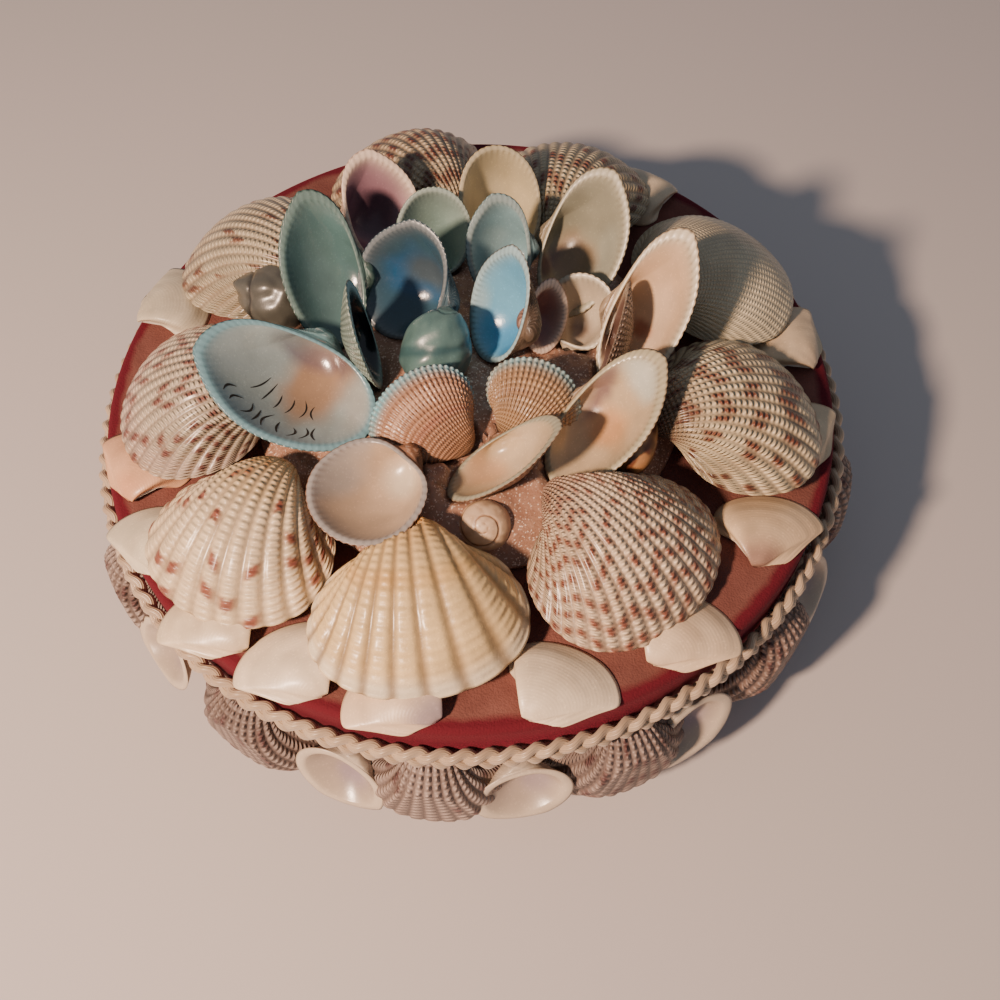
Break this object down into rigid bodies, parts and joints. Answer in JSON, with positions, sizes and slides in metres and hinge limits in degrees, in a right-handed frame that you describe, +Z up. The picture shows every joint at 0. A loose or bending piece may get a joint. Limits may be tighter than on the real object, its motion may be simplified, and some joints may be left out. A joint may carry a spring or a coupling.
{
  "type": "shell box",
  "caption": "Round keepsake box covered with sea shells, with a velvet lift-off lid, a braid round its rim and a flower of upright shells on top.",
  "frame": {"origin": "middle of the box's flat underside, on the table", "axes": "+Z up through the middle of the lid; -Y is the front, from which the flower opens; +X is to the right of the front"},
  "size_m": [0.1761, 0.1763, 0.0811],
  "materials": {
    "card": "plain pressed card, matt",
    "velvet": "crimson velvet, faded and glued on the flat top",
    "satin_braid": "twisted cream satin cord trim",
    "glitter_glue": "clear hard glue with fine glitter, purplish brown",
    "white_shell": "smooth natural shell, satin",
    "cream_shell": "ribbed natural shell with a coat of lacquer",
    "brown_shell": "ribbed shell with brown spots and a coat of lacquer",
    "pink_shell": "inside of a shell, pinkish beige, glossy",
    "purple_shell": "inside of a clam, dark purple, glossy",
    "dark_shell": "grey-brown shell, satin",
    "blue_dyed_shell": "shell dyed blue, glossy",
    "green_dyed_shell": "shell dyed pale green, satin"
  },
  "bodies": {
    "root": {"box_body": "card", "lid": "velvet", "lid_braid": "satin_braid", "glue_bed": "glitter_glue", "lid_clam_1": "white_shell", "lid_clam_2": "white_shell", "lid_clam_3": "white_shell", "lid_clam_4": "white_shell", "lid_clam_5": "white_shell", "lid_clam_6": "white_shell", "lid_clam_7": "white_shell", "lid_clam_8": "white_shell", "lid_clam_9": "white_shell", "lid_clam_10": "white_shell", "lid_clam_11": "white_shell", "lid_clam_12": "white_shell", "petal_inscribed": "blue_dyed_shell", "petal_cup": "pink_shell", "petal_small": "pink_shell", "petal_streaked": "pink_shell", "petal_pink": "pink_shell", "petal_white": "white_shell", "petal_green": "green_dyed_shell", "petal_purple": "purple_shell", "petal_cream": "cream_shell", "petal_front_left": "brown_shell", "petal_front_right": "brown_shell", "petal_dark_blue": "blue_dyed_shell", "petal_bright_blue": "blue_dyed_shell", "petal_ribbed": "green_dyed_shell", "petal_pale_blue": "blue_dyed_shell", "petal_mint": "green_dyed_shell", "petal_fan": "white_shell", "petal_dark": "dark_shell", "petal_curled": "pink_shell", "snail_centre": "green_dyed_shell", "snail_grey": "dark_shell", "snail_beige": "cream_shell", "cone_orange": "brown_shell", "ring_shell_1": "cream_shell", "ring_shell_2": "brown_shell", "ring_shell_3": "cream_shell", "ring_shell_4": "cream_shell", "ring_shell_5": "brown_shell", "ring_shell_6": "brown_shell", "ring_shell_7": "cream_shell", "ring_shell_8": "brown_shell", "ring_shell_9": "cream_shell", "side_cockle_1": "brown_shell", "side_cockle_2": "brown_shell", "side_cockle_3": "brown_shell", "side_cockle_4": "brown_shell", "side_cockle_5": "brown_shell", "side_cockle_6": "brown_shell", "side_cockle_7": "brown_shell", "side_cockle_8": "brown_shell", "side_cockle_9": "brown_shell", "side_cockle_10": "brown_shell", "side_cockle_11": "brown_shell", "side_cockle_12": "brown_shell"}
  },
  "joints": []
}
